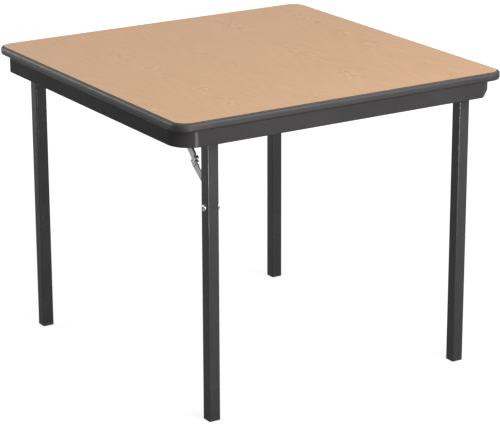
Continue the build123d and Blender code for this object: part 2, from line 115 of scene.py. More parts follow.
class CardTableColours(PropertyGroup):
    """Linear colours of the finishes."""

    laminate: colour("Laminate", "Mean colour of the wood-grain laminate", (0.673, 0.409, 0.232))
    laminate_core: colour("Laminate core", "Dark edge of the laminate sheet", (0.032, 0.020, 0.014))
    core_board: colour("Core board", "Chips of the core board", (0.58, 0.44, 0.29))
    backing_sheet: colour("Backing sheet", "Sheet on the underside of the top", (0.16, 0.11, 0.08))
    edge_vinyl: colour("Edge vinyl", "Edge moulding", (0.0325, 0.0292, 0.0308))
    black_enamel: colour("Black enamel", "Charcoal coat of the apron and legs", (0.0500, 0.0469, 0.0482))
    zinc: colour("Zinc", "Plated hardware", (0.68, 0.69, 0.69))
    nylon: colour("Nylon", "Bearing blocks", (0.75, 0.74, 0.70))
    foot_plastic: colour("Foot plastic", "Feet and plugs of the legs", (0.03, 0.03, 0.03))
    rubber: colour("Rubber", "Rest pads", (0.03, 0.03, 0.03))


class CardTableStudio(PropertyGroup):
    """Floor, lights and camera."""

    floor: colour("Floor", "Colour of the floor round the table", (0.30, 0.30, 0.30))
    floor_level: share("Floor level", "Light that the floor adds to what the camera sees", 0.80)
    sky_level: share("Sky level", "Brightness overhead of the surroundings as a light", 0.61)
    horizon_level: share("Horizon level", "Brightness at the horizon of the surroundings as a light", 0.10)
    behind_level: share("Behind level", "Brightness that the surroundings add at the back right", 0.90)
    key_power: power("Key light", "Power of the key light at the front", 122.0)
    rim_power: power("Rim light", "Power of the light at the back left", 36.0)
    strip_power: power("Strip light", "Power of the strip on the floor in front, seen as gloss on the corners", 68.0)
    camera_place: FloatVectorProperty(
        name="Camera place", description="Where the camera stands", size=3, subtype="TRANSLATION", unit="LENGTH",
        default=(-2.82317, -4.51657, 2.06054)
    )
    camera_turn: FloatVectorProperty(
        name="Camera turn", description="Heading, tilt down and roll of the camera", size=3, subtype="EULER",
        unit="ROTATION", default=(radians(32.136), radians(17.975), radians(-0.1609))
    )
    camera_lens: FloatProperty(
        name="Lens", description="Focal length on a 36 mm wide sensor, in millimetres", default=159.65, min=1.0
    )


# Surfaces

def square_path(half, corner, steps):
    """Rounded square, anticlockwise from above: four quarter circles, each about its own centre, with the
    straight sides between them. Gives each point's centre and outward direction, so that centre plus
    direction times (corner + offset) is a point of the square grown by that offset."""
    quarter = np.linspace(0, pi / 2, steps + 1)
    angle = (quarter[None, :] + np.arange(4)[:, None] * pi / 2).ravel()
    outward = np.stack([np.cos(angle), np.sin(angle), np.zeros_like(angle)], 1)
    diagonal = np.repeat(np.arange(4) * pi / 2 + pi / 4, steps + 1)
    reach = (half - corner) * sqrt(2)
    centre = np.stack([reach * np.cos(diagonal), reach * np.sin(diagonal), np.zeros_like(diagonal)], 1)
    return centre, outward


def profile_normals(profile, closed):
    """Normals at the start and end of each segment of an anticlockwise profile. A segment's normal is its
    direction turned a quarter clockwise. Where two segments meet at less than the crease angle, both take
    the mean of their normals weighted by length, which keeps long flats flat."""
    following = np.roll(profile, -1, axis=0) if closed else profile[1:]
    step = following - (profile if closed else profile[:-1])
    size = np.linalg.norm(step, axis=1, keepdims=True)
    normal = np.stack([step[:, 1], -step[:, 0]], 1) / size
    before = np.roll(normal, 1, axis=0)
    joined = before * np.roll(size, 1, axis=0) + normal * size
    joined /= np.linalg.norm(joined, axis=1, keepdims=True)
    smooth = (before * normal).sum(1, keepdims=True) > cos(CREASE)
    if not closed:
        smooth[0] = False
    at_start = np.where(smooth, joined, normal)
    at_end = np.where(np.roll(smooth, -1, axis=0), np.roll(joined, -1, axis=0), normal)
    return at_start, at_end


def wrapped_corners(rows, columns, last):
    """Row and column of the four corners of each face of a grid, anticlockwise from outside. The rows close
    on themselves, and so do the columns, unless the last column of faces is left out."""
    i, k = np.meshgrid(np.arange(rows), np.arange(last), indexing="ij")
    after, above = (i + 1) % rows, (k + 1) % columns
    return (i, k), (after, k), (after, above), (i, above)


def numbered(corners, columns):
    """Corners of the faces as vertex numbers."""
    return np.stack([row * columns + column for row, column in corners], -1).reshape(-1, 4)


def swept(centre, outward, radius, profile, height, closed_profile=True):
    """Profile (u, v) carried round a closed path: point (i, k) is centre i plus outward direction i times
    (radius + u of k), at height + v of k. Gives vertices, faces and a normal for every face corner."""
    rows, columns = len(centre), len(profile)
    reach = radius + profile[None, :, :1]
    points = centre[:, None, :] + outward[:, None, :] * reach
    points[..., 2] = height + profile[None, :, 1]
    corners = wrapped_corners(rows, columns, columns if closed_profile else columns - 1)
    segment = corners[0][1]
    at_start, at_end = profile_normals(profile, closed_profile)
    normals = []
    for (row, _), ends in zip(corners, (at_start, at_start, at_end, at_end)):
        across = ends[segment]
        normal = outward[row] * across[..., :1]
        normal[..., 2] = across[..., 1]
        normals.append(normal)
    return points.reshape(-1, 3), numbered(corners, columns), np.stack(normals, 2).reshape(-1, 4, 3)


def surface(name, points, faces, normals, body, nodes):
    """Mesh object from arrays. Each face has as many normals as corners."""
    mesh = bpy.data.meshes.new(name)
    mesh.from_pydata(points.tolist(), [], [face.tolist() for face in faces])
    mesh.polygons.foreach_set("use_smooth", np.ones(len(mesh.polygons), bool))
    mesh.normals_split_custom_set(np.concatenate([np.reshape(n, (-1, 3)) for n in normals]).tolist())
    mesh.update()
    piece = bpy.data.objects.new(name, mesh)
    bpy.context.scene.collection.objects.link(piece)
    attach(piece, body)
    if nodes:
        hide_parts(*nodes)
    return piece


def laminate_sheet(sizes):
    """Thin square sheet: a low upright edge, a trimmed chamfer and a flat face above and below."""
    thickness = PANEL_HIGH.z - PANEL_LOW.z
    profile = np.array([(0, 0), (0, thickness - sizes.laminate_chamfer), (-sizes.laminate_bevel, thickness)])
    centre, outward = square_path(PANEL_HIGH.x, sizes.panel_corner, steps=12)
    points, faces, normals = swept(centre, outward, sizes.panel_corner, profile, PANEL_LOW.z, False)
    rows = np.arange(len(centre)) * len(profile)
    caps = [rows + len(profile) - 1, rows[::-1]]
    up = np.tile((0.0, 0.0, 1.0), (len(rows), 1))
    faces = [*faces, *caps]
    normals = [*normals, up, -up]
    return surface("laminate_sheet", points, faces, normals, "table", ["top_laminate"])


def edge_band(sizes):
    """Moulding round the panel. Its crown is the curve (u / depth)^2 + |v / half height|^crown = 1, from a
    small lip at the laminate to the same lip at the bottom, and a barbed tongue goes into the core."""
    depth = BAND_HIGH.x - PANEL_HIGH.x
    half = (BAND_HIGH.z - BAND_LOW.z) / 2
    lip = sizes.band_lip
    crown_points, lip_points = 33, 5
    last_angle = np.arccos(lip / depth)
    angle = np.linspace(-last_angle, last_angle, crown_points)
    height = np.where(angle > 0, half - sizes.band_drop, half)
    rise = np.abs(np.sin(angle)) ** (2 / sizes.band_crown) * np.sign(np.sin(angle)) * height
    crown = np.stack([depth * np.cos(angle), rise], 1)
    turn = np.linspace(0, pi / 2, lip_points)[1:]
    top = crown[-1][1]
    upper_lip = np.stack([lip * np.cos(turn), top - lip * (1 - np.cos(turn))], 1)
    thick = sizes.tongue_thickness / 2
    barb = thick + sizes.barb_height
    first, second = sizes.barb_spacing, 2 * sizes.barb_spacing
    upper_tongue = np.array([
        (0, thick), (-first, thick), (-first, barb), (-first - sizes.barb_width, thick), (-second, thick),
        (-second, barb), (-second - sizes.barb_width, thick), (-sizes.tongue_length, thick),
    ])
    flip = np.array([1, -1])
    inner = np.concatenate([upper_lip, upper_tongue])
    profile = np.concatenate([crown, inner, (inner * flip)[::-1]])
    centre, outward = square_path(PANEL_HIGH.x, sizes.panel_corner, steps=20)
    middle = (BAND_HIGH.z + BAND_LOW.z) / 2
    points, faces, normals = swept(centre, outward, sizes.panel_corner, profile, middle)
    return surface("edge_band", points, faces, normals, "table", ["edge_moulding"])


def weld_bead(name, body, place, sizes):
    """Ring of weld round a cross tube: a circle of the bead's radius carried round the tube, swollen by
    ripples that lean over along the seam like the scales of a laid bead."""
    steps_per_ripple, section_steps = 6, 14
    lean, sharpness, ripple_share, rough_share = 0.9, 1.6, 0.65, 0.35
    around = np.linspace(0, 2 * pi, steps_per_ripple * sizes.bead_ripples, endpoint=False)
    across = np.linspace(0, 2 * pi, section_steps, endpoint=False)
    a, b = np.meshgrid(around, across, indexing="ij")
    phase = (a * sizes.bead_ripples + lean * np.cos(2 * b)) % (2 * pi) / (2 * pi)
    unsteady = 0.5 + 0.5 * np.sin(3 * a + place.x * 9) * np.cos(5 * a)
    swelling = ripple_share * phase ** sharpness + rough_share * unsteady
    radius = sizes.bead_radius + sizes.bead_ripple * swelling
    ring = sizes.tube_radius + radius * np.sin(b)
    points = np.stack([place.x + radius * np.cos(b), place.y + ring * np.cos(a), place.z + ring * np.sin(a)], -1)
    rows, columns = a.shape
    corners = wrapped_corners(rows, columns, columns)
    slope = np.gradient(np.pad(points, ((1, 1), (1, 1), (0, 0)), mode="wrap"), axis=(0, 1))
    normal = np.cross(slope[0][1:-1, 1:-1], slope[1][1:-1, 1:-1])
    normal /= np.linalg.norm(normal, axis=-1, keepdims=True)
    normals = np.stack([normal[row, column] for row, column in corners], 2).reshape(-1, 4, 3)
    return surface(name, points.reshape(-1, 3), numbered(corners, columns), normals, body, [])


# Shader nodes

BEVEL_SAMPLES = 4


def put(tree, value, socket):
    """Links an output to a socket, or sets the socket's own value."""
    if isinstance(value, bpy.types.NodeSocket):
        tree.links.new(value, socket)
    elif isinstance(value, (tuple, list)) and len(value) == 3 and socket.type == "RGBA":
        socket.default_value = (*value, 1.0)
    else:
        socket.default_value = value


def add(tree, kind, inputs=None, **settings):
    """New node with its settings and inputs."""
    made = tree.nodes.new(kind)
    for key, value in settings.items():
        setattr(made, key, value)
    for key, value in (inputs or {}).items():
        put(tree, value, made.inputs[key])
    return made


def math(tree, operation, *values, clamp=False):
    """Math node's output."""
    return add(tree, "ShaderNodeMath", dict(enumerate(values)), operation=operation, use_clamp=clamp).outputs[0]


def times(tree, first, second):
    """Product of two values."""
    return math(tree, "MULTIPLY", first, second)


def plus(tree, first, second):
    """Sum of two values."""
    return math(tree, "ADD", first, second)


def between(tree, value, low, high, start=0.0, end=1.0):
    """Value taken from low..high to start..end, and held there outside."""
    inputs = {"Value": value, "From Min": low, "From Max": high, "To Min": start, "To Max": end}
    return add(tree, "ShaderNodeMapRange", inputs, clamp=True).outputs["Result"]


def spread(tree, mask, start, end):
    """Mask from 0 to 1 taken to start..end."""
    return between(tree, mask, 0.0, 1.0, start, end)


def noise(tree, vector, scale, detail):
    """Value of a noise texture."""
    return add(tree, "ShaderNodeTexNoise", {"Vector": vector, "Scale": scale, "Detail": detail}).outputs[0]


def mixed(tree, factor, first, second):
    """Mix of two colours."""
    made = add(tree, "ShaderNodeMix", data_type="RGBA", blend_type="MIX", clamp_factor=True)
    first_colour, second_colour = 6, 7
    put(tree, factor, made.inputs[0])
    put(tree, first, made.inputs[first_colour])
    put(tree, second, made.inputs[second_colour])
    return made.outputs[2]


def scaled(tree, vector, across, along, up):
    """Vector with each axis multiplied by its own number."""
    factors = add(tree, "ShaderNodeCombineXYZ", {"X": across, "Y": along, "Z": up}).outputs[0]
    return add(tree, "ShaderNodeVectorMath", {0: vector, 1: factors}, operation="MULTIPLY").outputs[0]


def tone(rgb, factor):
    """Colour made lighter or darker."""
    return tuple(min(1.0, c * factor) for c in rgb)


def new_group(name, inputs, outputs):
    """Shader node group with named inputs, given with their defaults, and outputs, given with their kinds."""
    group = bpy.data.node_groups.new(name, "ShaderNodeTree")
    for label, default in inputs.items():
        kind = "NodeSocketVector" if default is None else "NodeSocketFloat"
        socket = group.interface.new_socket(name=label, in_out="INPUT", socket_type=kind)
        if default is not None:
            socket.default_value = default
    for label, kind in outputs.items():
        group.interface.new_socket(name=label, in_out="OUTPUT", socket_type="NodeSocket" + kind)
    start = group.nodes.new("NodeGroupInput")
    end = group.nodes.new("NodeGroupOutput")
    return group, start.outputs, end.inputs


def grain_group():
    """Grain drawn out along an axis: noise on coordinates stretched by the three scales, cut to a mask."""
    group, into, out = new_group(
        "Grain", {"Vector": None, "Across": 100.0, "Along": 5.0, "Up": 100.0, "Detail": 3.0, "Low": 0.4, "High": 0.6},
        {"Mask": "Float"}
    )
    stretched = scaled(group, into["Vector"], into["Across"], into["Along"], into["Up"])
    value = noise(group, stretched, 1.0, into["Detail"])
    put(group, between(group, value, into["Low"], into["High"]), out["Mask"])
    return group


def texture_group():
    """Fine surface texture: close noise for the height and wide noise for slow changes of tone."""
    group, into, out = new_group(
        "Surface Texture", {"Vector": None, "Fine": 900.0, "Wide": 12.0}, {"Height": "Float", "Mottle": "Float"}
    )
    put(group, noise(group, into["Vector"], into["Fine"], 2.0), out["Height"])
    put(group, between(group, noise(group, into["Vector"], into["Wide"], 4.0), 0.32, 0.68), out["Mottle"])
    return group


def wear_group():
    """Wear on edges: where the rounded normal leaves the true one, broken up by noise."""
    group, into, out = new_group(
        "Edge Wear", {"Vector": None, "Radius": 0.0015, "Breakup": 90.0, "Amount": 1.0}, {"Mask": "Float"}
    )
    rounded = add(group, "ShaderNodeBevel", {"Radius": into["Radius"]}, samples=BEVEL_SAMPLES).outputs[0]
    true = add(group, "ShaderNodeNewGeometry").outputs["Normal"]
    likeness = add(group, "ShaderNodeVectorMath", {0: rounded, 1: true}, operation="DOT_PRODUCT").outputs["Value"]
    edge = between(group, likeness, 0.995, 0.86)
    patchy = between(group, noise(group, into["Vector"], into["Breakup"], 3.0), 0.36, 0.62, 0.25, 1.0)
    put(group, math(group, "MULTIPLY", times(group, edge, patchy), into["Amount"], clamp=True), out["Mask"])
    return group


def crevice_group():
    """Painted crevice shade: a mask from how far the surface is closed in by its own surroundings within a distance.
    """
    group, into, out = new_group("Crevice Shade", {"Distance": 0.004, "Low": 0.75, "High": 0.25}, {"Mask": "Float"})
    occlusion = add(group, "ShaderNodeAmbientOcclusion", {"Distance": into["Distance"]}, samples=8)
    put(group, between(group, occlusion.outputs["AO"], into["Low"], into["High"]), out["Mask"])
    return group


def flake_group():
    """Flakes: cells with a tone of their own, and a mask that is 1 inside a cell and 0 at its border."""
    group, into, out = new_group(
        "Flakes", {"Vector": None, "Scale": 300.0}, {"Tone": "Float", "Inside": "Float"}
    )
    settings = {"Vector": into["Vector"], "Scale": into["Scale"]}
    cells = add(group, "ShaderNodeTexVoronoi", settings)
    border = add(group, "ShaderNodeTexVoronoi", settings, feature="DISTANCE_TO_EDGE")
    shade = add(group, "ShaderNodeSeparateColor", {"Color": cells.outputs["Color"]}).outputs[0]
    put(group, shade, out["Tone"])
    put(group, between(group, border.outputs["Distance"], 0.0, 0.12), out["Inside"])
    return group


GROUPS = {
    "Grain": grain_group, "Surface Texture": texture_group, "Edge Wear": wear_group, "Crevice Shade": crevice_group,
    "Flakes": flake_group,
}


def group(tree, name, **inputs):
    """Shared group placed in a material. It is built the first time it is asked for."""
    made = tree.nodes.new("ShaderNodeGroup")
    made.node_tree = bpy.data.node_groups.get(name) or GROUPS[name]()
    for key, value in inputs.items():
        put(tree, value, made.inputs[key])
    return made.outputs


def grain(tree, place, scales, detail, low, high):
    """Mask of the Grain group, with its scales across, along and up."""
    across, along, up = scales
    made = group(tree, "Grain", Vector=place, Across=across, Along=along, Up=up, Detail=detail, Low=low, High=high)
    return made["Mask"]


def layered(tree, shade, base, *layers):
    """Colour with layers over it. Each layer is a mask, the share that it covers, and its tone of the base."""
    for mask, cover, factor in layers:
        covered = mask if cover == 1.0 else times(tree, mask, cover)
        shade = mixed(tree, covered, shade, tone(base, factor))
    return shade


def finish(name):
    """New material with its object coordinates and shader."""
    material = bpy.data.materials.new(name)
    material.use_nodes = True
    tree = material.node_tree
    shader = tree.nodes["Principled BSDF"]
    place = tree.nodes.new("ShaderNodeTexCoord").outputs["Object"]
    return material, tree, shader, place


def coated(tree, shader, shade, rough):
    """Gives the shader its colour and roughness."""
    put(tree, shade, shader.inputs["Base Color"])
    put(tree, rough, shader.inputs["Roughness"])


def bumped(tree, shader, height, distance, strength=1.0, broken_edges=False):
    """Bump from a height. Broken edges, as metal and mouldings have, look rounded by the edge radius."""
    bump = add(tree, "ShaderNodeBump", {"Height": height, "Distance": distance, "Strength": strength})
    if broken_edges:
        radius = bpy.context.scene.card_table_sizes.edge_radius
        rounded = add(tree, "ShaderNodeBevel", {"Radius": radius}, samples=BEVEL_SAMPLES).outputs[0]
        put(tree, rounded, bump.inputs["Normal"])
    put(tree, bump.outputs[0], shader.inputs["Normal"])


def laminate_finish(colours):
    """Printed wood grain along Y under a satin coat. Arched figures stand side by side in leaves of one
    width, with small flecks down the middle of each, between long straight streaks."""
    material, tree, shader, place = finish("laminate")
    half_leaf, first_leaf, drift = 0.0965, 0.05, 0.09
    arch_pace, arch_steepness, ring_ripple, ring_count = 2.6, 95.0, 0.9, 3.2
    fleck_start, fleck_full = 0.034, 0.008
    axes = add(tree, "ShaderNodeSeparateXYZ", {0: place}).outputs
    wander = spread(tree, noise(tree, scaled(tree, place, 1.2, 0.7, 0.0), 1.0, 2.0), -drift, drift)
    leaf = math(tree, "PINGPONG", plus(tree, plus(tree, axes["X"], first_leaf), wander), half_leaf)
    arch = times(tree, math(tree, "POWER", leaf, 2.0), arch_steepness)
    rings = plus(tree, times(tree, axes["Y"], arch_pace), arch)
    ripple = noise(tree, scaled(tree, place, 9.0, 1.6, 0.0), 1.0, 3.0)
    rings = plus(tree, rings, times(tree, ripple, ring_ripple))
    wave = math(tree, "SINE", times(tree, rings, 2 * pi * ring_count))
    figure = between(tree, wave, -1.0, 1.0)
    streaks = grain(tree, place, (150.0, 2.2, 0.0), 5.0, 0.25, 0.75)
    broad = grain(tree, place, (14.0, 0.9, 0.0), 3.0, 0.3, 0.7)
    pores = grain(tree, place, (1100.0, 38.0, 0.0), 1.0, 0.60, 0.70)
    flecks = grain(tree, place, (170.0, 42.0, 0.0), 1.0, 0.55, 0.66)
    pale = grain(tree, place, (120.0, 34.0, 0.0), 1.0, 0.44, 0.34)
    patches = grain(tree, place, (9.0, 9.0, 0.0), 0.0, 0.48, 0.60)
    middle = times(tree, between(tree, leaf, fleck_start, fleck_full), patches)
    mean = tuple(colours.laminate)
    shade = layered(
        tree, mixed(tree, streaks, tone(mean, 0.955), tone(mean, 1.045)), mean,
        (broad, 0.5, 1.05), (figure, 0.30, 0.91), (times(tree, flecks, middle), 0.66, 0.64),
        (times(tree, pale, middle), 0.62, 1.28), (pores, 0.26, 0.66)
    )
    smudge = group(tree, "Surface Texture", Vector=place, Fine=1500.0, Wide=7.0)
    coated(tree, shader, shade, plus(tree, spread(tree, smudge["Mottle"], 0.52, 0.60), times(tree, pores, 0.10)))
    shader.inputs["Specular IOR Level"].default_value = 0.28
    height = math(tree, "SUBTRACT", times(tree, smudge["Height"], 0.4), pores)
    bumped(tree, shader, height, 0.00003, 0.6)
    return material


def laminate_core_finish(colours):
    """Dark resin-soaked paper at the trimmed edge of the laminate, with faint layers."""
    material, tree, shader, place = finish("laminate_core")
    layers = grain(tree, place, (30.0, 30.0, 9000.0), 2.0, 0.35, 0.65)
    shade = mixed(tree, layers, tone(colours.laminate_core, 0.75), tone(colours.laminate_core, 1.3))
    coated(tree, shader, shade, spread(tree, layers, 0.55, 0.7))
    bumped(tree, shader, layers, 0.00004)
    return material


def core_board_finish(colours):
    """Pressed wood chips of mixed tone, with open pores between them."""
    material, tree, shader, place = finish("core_board")
    large = group(tree, "Flakes", Vector=scaled(tree, place, 1.0, 0.45, 2.5), Scale=170.0)
    small = group(tree, "Flakes", Vector=scaled(tree, place, 0.6, 1.0, 2.0), Scale=520.0)
    chips = plus(tree, times(tree, large["Tone"], 0.6), times(tree, small["Tone"], 0.4))
    shade = mixed(tree, chips, tone(colours.core_board, 0.62), tone(colours.core_board, 1.22))
    shade = mixed(tree, spread(tree, small["Inside"], 0.55, 0.0), shade, tone(colours.core_board, 0.35))
    coated(tree, shader, shade, spread(tree, chips, 0.75, 0.92))
    bumped(tree, shader, small["Inside"], 0.0002, 0.7)
    return material


def backing_finish(colours):
    """Brown backing paper with fine fibres and slow clouds of tone."""
    material, tree, shader, place = finish("backing_sheet")
    along = grain(tree, place, (420.0, 60.0, 1.0), 4.0, 0.3, 0.7)
    across = grain(tree, place, (70.0, 380.0, 1.0), 4.0, 0.3, 0.7)
    fibres = times(tree, plus(tree, along, across), 0.5)
    clouds = group(tree, "Surface Texture", Vector=place, Fine=1400.0, Wide=9.0)
    base = tuple(colours.backing_sheet)
    shade = mixed(tree, fibres, tone(base, 0.80), tone(base, 1.22))
    shade = layered(tree, shade, base, (clouds["Mottle"], 0.4, 1.18))
    coated(tree, shader, shade, spread(tree, fibres, 0.62, 0.8))
    bumped(tree, shader, fibres, 0.00006, 0.7)
    return material


def vinyl_finish(colours):
    """Extruded vinyl: faint draw lines round the edge, a satin skin and small scuffs on the crown."""
    material, tree, shader, place = finish("edge_vinyl")
    skin = group(tree, "Surface Texture", Vector=place, Fine=1300.0, Wide=16.0)
    drawn = grain(tree, place, (3.0, 3.0, 1500.0), 3.0, 0.3, 0.7)
    scuffs = grain(tree, place, (55.0, 55.0, 420.0), 5.0, 0.60, 0.70)
    base = tuple(colours.edge_vinyl)
    shade = mixed(tree, skin["Mottle"], tone(base, 0.90), tone(base, 1.10))
    shade = layered(tree, shade, base, (scuffs, 0.28, 1.7))
    coated(tree, shader, shade, plus(tree, spread(tree, skin["Mottle"], 0.46, 0.54), times(tree, scuffs, 0.18)))
    bumped(tree, shader, plus(tree, skin["Height"], times(tree, drawn, 0.5)), 0.00005, 0.6)
    return material


def enamel(name, base, rough, gloss, coat):
    """Charcoal powder coat: orange-peel skin with pale specks, thinner and paler on its edges."""
    material, tree, shader, place = finish(name)
    skin = group(tree, "Surface Texture", Vector=place, Fine=620.0, Wide=10.0)
    cells = group(tree, "Flakes", Vector=place, Scale=1500.0)
    specks = math(tree, "GREATER_THAN", cells["Tone"], 0.93)
    wear = group(tree, "Edge Wear", Vector=place, Radius=0.0016, Breakup=60.0, Amount=0.8)
    shade = mixed(tree, skin["Mottle"], tone(base, 0.93), tone(base, 1.07))
    shade = layered(tree, shade, base, (specks, 0.25, 1.8), (wear["Mask"], 1.0, 2.4))
    coated(tree, shader, shade, spread(tree, skin["Mottle"], rough, rough + 0.08))
    shader.inputs["Specular IOR Level"].default_value = gloss
    shader.inputs["Coat Weight"].default_value = coat
    shader.inputs["Coat Roughness"].default_value = 0.14
    bumped(tree, shader, skin["Height"], 0.00012, 0.7, broken_edges=True)
    return material


def apron_finish(colours):
    """Matt powder coat of the apron, under a thin coat."""
    return enamel("apron_enamel", tuple(colours.black_enamel), rough=0.30, gloss=0.02, coat=0.11)


def leg_finish(colours):
    """Powder coat of the leg frames, darker, smoother and glossier than the apron's."""
    return enamel("leg_enamel", tone(colours.black_enamel, 0.70), rough=0.20, gloss=0.82, coat=0.0)


def zinc_finish(colours):
    """Bright zinc plate: fine drawn lines, faint crystal flakes, a cool and warm cast, and painted shade darkening
    its crevices.
    """
    material, tree, shader, place = finish("zinc")
    lines = grain(tree, place, (2200.0, 60.0, 60.0), 3.0, 0.3, 0.7)
    flakes = group(tree, "Flakes", Vector=place, Scale=420.0)
    cast = group(tree, "Surface Texture", Vector=place, Fine=2400.0, Wide=45.0)
    wear = group(tree, "Edge Wear", Vector=place, Radius=0.0008, Breakup=240.0, Amount=0.8)
    # Painted shade: ambient occlusion within 4.5 mm darkens the zinc in its recesses and joints, where shade falls.
    crevice_shade = group(tree, "Crevice Shade", Distance=0.0045)
    base = tuple(colours.zinc)
    warm = (base[0] * 1.02, base[1], base[2] * 0.96)
    cool = (base[0] * 0.93, base[1] * 0.97, base[2] * 1.02)
    # The last layer lays the painted crevice shade over the zinc.
    shade = layered(
        tree, mixed(tree, cast["Mottle"], cool, warm), base,
        (flakes["Tone"], 0.25, 0.72), (lines, 0.16, 0.6), (wear["Mask"], 1.0, 1.25), (crevice_shade["Mask"], 0.85, 0.12)
    )
    coated(tree, shader, shade, plus(tree, spread(tree, cast["Mottle"], 0.27, 0.38), times(tree, lines, 0.10)))
    shader.inputs["Metallic"].default_value = 1.0
    bumped(tree, shader, plus(tree, cast["Height"], lines), 0.00002, 0.7, broken_edges=True)
    return material


def nylon_finish(colours):
    """Moulded nylon: milky, with soft clouds and a fine skin, greyed on its edges."""
    material, tree, shader, place = finish("nylon")
    skin = group(tree, "Surface Texture", Vector=place, Fine=900.0, Wide=55.0)
    wear = group(tree, "Edge Wear", Vector=place, Radius=0.0012, Breakup=160.0, Amount=0.7)
    base = tuple(colours.nylon)
    shade = mixed(tree, skin["Mottle"], tone(base, 0.90), tone(base, 1.04))
    shade = layered(tree, shade, base, (wear["Mask"], 1.0, 0.72))
    coated(tree, shader, shade, spread(tree, skin["Mottle"], 0.38, 0.5))
    bumped(tree, shader, skin["Height"], 0.00008, 0.6, broken_edges=True)
    return material


def foot_finish(colours):
    """Moulded foot plastic: spark-eroded skin, with pale scuffs close to the floor and on its edges."""
    material, tree, shader, place = finish("foot_plastic")
    skin = group(tree, "Surface Texture", Vector=place, Fine=1600.0, Wide=70.0)
    height = add(tree, "ShaderNodeSeparateXYZ", {0: place}).outputs["Z"]
    low = between(tree, height, 0.0032, 0.0002)
    scuffs = grain(tree, place, (260.0, 260.0, 900.0), 4.0, 0.46, 0.62)
    wear = group(tree, "Edge Wear", Vector=place, Radius=0.0012, Breakup=140.0, Amount=0.6)
    base = tuple(colours.foot_plastic)
    shade = mixed(tree, skin["Mottle"], tone(base, 0.85), tone(base, 1.2))
    shade = layered(tree, shade, base, (times(tree, low, scuffs), 0.6, 4.5), (wear["Mask"], 1.0, 2.2))
    coated(tree, shader, shade, spread(tree, skin["Mottle"], 0.5, 0.62))
    bumped(tree, shader, skin["Height"], 0.0001, 0.7, broken_edges=True)
    return material


def rubber_finish(colours):
    """Moulded rubber: dull, with a chalky bloom and fine pits."""
    material, tree, shader, place = finish("rubber")
    skin = group(tree, "Surface Texture", Vector=place, Fine=1100.0, Wide=90.0)
    cells = group(tree, "Flakes", Vector=place, Scale=900.0)
    pits = math(tree, "GREATER_THAN", cells["Tone"], 0.88)
    base = tuple(colours.rubber)
    shade = mixed(tree, skin["Mottle"], tone(base, 0.85), tone(base, 1.9))
    shade = layered(tree, shade, base, (pits, 0.5, 0.5))
    coated(tree, shader, shade, spread(tree, skin["Mottle"], 0.78, 0.9))
    bumped(tree, shader, skin["Height"], 0.00015, 0.8, broken_edges=True)
    return material


FINISHES = {
    "laminate": laminate_finish, "laminate_core": laminate_core_finish, "core_board": core_board_finish,
    "backing_sheet": backing_finish, "edge_vinyl": vinyl_finish, "apron_enamel": apron_finish,
    "leg_enamel": leg_finish, "zinc": zinc_finish, "nylon": nylon_finish, "foot_plastic": foot_finish,
    "rubber": rubber_finish,
}


def finish_named(name):
    """The material of a finish, made from the scene's colours the first time it is asked for."""
    key = "card_table_" + name
    material = bpy.data.materials.get(key)
    if material is None:
        material = FINISHES[name](bpy.context.scene.card_table_colours)
        material.name = key
    return material


def dress(name, nodes):
    """Gives a finish to construction nodes."""
    for node in nodes:
        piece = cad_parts[node]
        if not piece.material_slots:
            raise RuntimeError(node + " has no material slot")
        for slot in piece.material_slots:
            slot.material = finish_named(name)


def of_both(*names):
    """A piece of the front frame and the same piece of the back frame."""
    return [side + "_" + name for side in SIDES for name in names]


# Operators

class CARDTABLE_OT_top(Operator):
    """Lay the laminate on its core and backing sheet"""

    bl_idname = "card_table.top"
    bl_label = "Top"

    def execute(self, context):
        sheet = laminate_sheet(context.scene.card_table_sizes)
        sheet.data.materials.append(finish_named("laminate"))
        sheet.data.materials.append(finish_named("laminate_core"))
        index = np.ones(len(sheet.data.polygons), np.int32)
        index[-2:] = 0
        sheet.data.polygons.foreach_set("material_index", index)
        dress("core_board", ["top_core"])
        dress("backing_sheet", ["top_backer"])
        return {"FINISHED"}


class CARDTABLE_OT_edge(Operator):
    """Fit the edge moulding round the top"""

    bl_idname = "card_table.edge"
    bl_label = "Edge moulding"

    def execute(self, context):
        band = edge_band(context.scene.card_table_sizes)
        band.data.materials.append(finish_named("edge_vinyl"))
        return {"FINISHED"}


class CARDTABLE_OT_apron(Operator):
    """Finish the apron and its riveted splice"""

    bl_idname = "card_table.apron"
    bl_label = "Apron"

    def execute(self, context):
        dress("apron_enamel", ["apron_rail", "apron_splice_plate", "apron_splice_rivets"])
        return {"FINISHED"}


class CARDTABLE_OT_leg_frames(Operator):
    """Finish the leg frames, with a weld bead at each end of the cross tubes"""

    bl_idname = "card_table.leg_frames"
    bl_label = "Leg frames"

    def execute(self, context):
        dress("leg_enamel", of_both("braced_leg", "plain_leg", "cross_tube"))
        dress("foot_plastic", of_both("braced_leg_foot", "plain_leg_foot", "braced_leg_plug", "plain_leg_plug"))
        for side in SIDES:
            low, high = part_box(side + "_cross_tube")
            middle = (low + high) / 2
            for name, x in (("low", low.x), ("high", high.x)):
                place = Vector((x, middle.y, middle.z))
                bead = weld_bead(f"{side}_weld_{name}", side + "_legs", place, context.scene.card_table_sizes)
                bead.data.materials.append(finish_named("leg_enamel"))
        return {"FINISHED"}


class CARDTABLE_OT_bearings(Operator):
    """Finish the bearings of the cross tubes and their straps"""

    bl_idname = "card_table.bearings"
    bl_label = "Bearings"

    def execute(self, context):
        dress("nylon", of_both("braced_side_bearing", "plain_side_bearing"))
        dress("zinc", of_both("braced_side_strap", "plain_side_strap"))
        return {"FINISHED"}


class CARDTABLE_OT_braces(Operator):
    """Finish the folding braces and their pins"""

    bl_idname = "card_table.braces"
    bl_label = "Braces"

    def execute(self, context):
        dress("zinc", of_both(
            "brace_anchor", "anchor_rivet", "upper_link", "lower_link", "knee_rivet", "knee_washer",
            "brace_end_rivet", "brace_bolt", "bolt_sleeve", "leg_washer"
        ))
        return {"FINISHED"}


